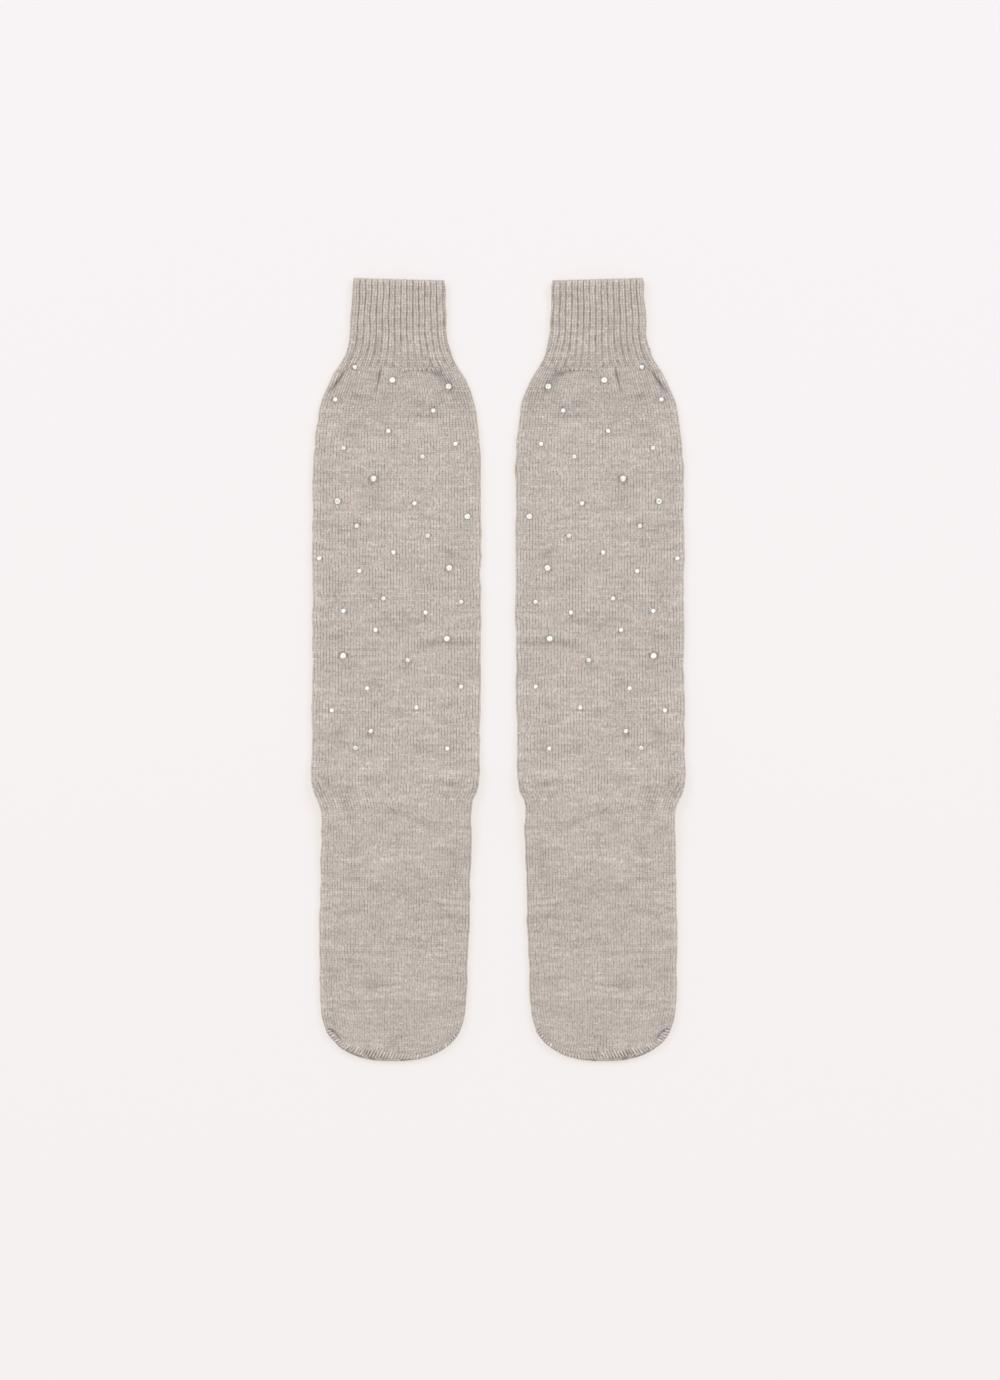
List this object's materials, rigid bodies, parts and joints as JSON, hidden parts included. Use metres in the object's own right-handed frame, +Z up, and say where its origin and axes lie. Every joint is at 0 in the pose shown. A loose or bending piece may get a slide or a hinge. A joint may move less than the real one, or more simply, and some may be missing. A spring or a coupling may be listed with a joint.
{
  "type": "pair of knit socks",
  "caption": "Pair of long plain-knit socks with ribbed cuffs and scattered clear crystals, lying flat side by side with their fronts up.",
  "frame": {"origin": "middle of the pair's outline, on the surface that the socks lie on", "axes": "+Y along the socks from the toes to the cuffs, +Z up out of the surface, +X towards the right-hand sock"},
  "size_m": [0.2248, 0.4698, 0.0061],
  "materials": {
    "rib_knit": "two-by-two rib in heathered greige wool-blend yarn",
    "leg_knit": "plain knit in heathered greige wool-blend yarn",
    "heel_knit": "short-row plain knit in the same yarn",
    "foot_knit": "plain knit in the same yarn",
    "toe_knit": "plain knit in the same yarn, linked round the edge",
    "crystal": "clear cut stone with a bright foiled back"
  },
  "bodies": {
    "root": {"left_cuff": "rib_knit", "left_leg": "leg_knit", "left_heel": "heel_knit", "left_foot": "foot_knit", "left_toe": "toe_knit", "left_crystal_1": "crystal", "left_crystal_2": "crystal", "left_crystal_3": "crystal", "left_crystal_4": "crystal", "left_crystal_5": "crystal", "left_crystal_6": "crystal", "left_crystal_7": "crystal", "left_crystal_8": "crystal", "right_cuff": "rib_knit", "right_leg": "leg_knit", "right_heel": "heel_knit", "right_foot": "foot_knit", "right_toe": "toe_knit", "right_crystal_1": "crystal", "right_crystal_2": "crystal", "right_crystal_3": "crystal", "right_crystal_4": "crystal", "right_crystal_5": "crystal", "right_crystal_6": "crystal", "right_crystal_7": "crystal", "right_crystal_8": "crystal"}
  },
  "joints": []
}
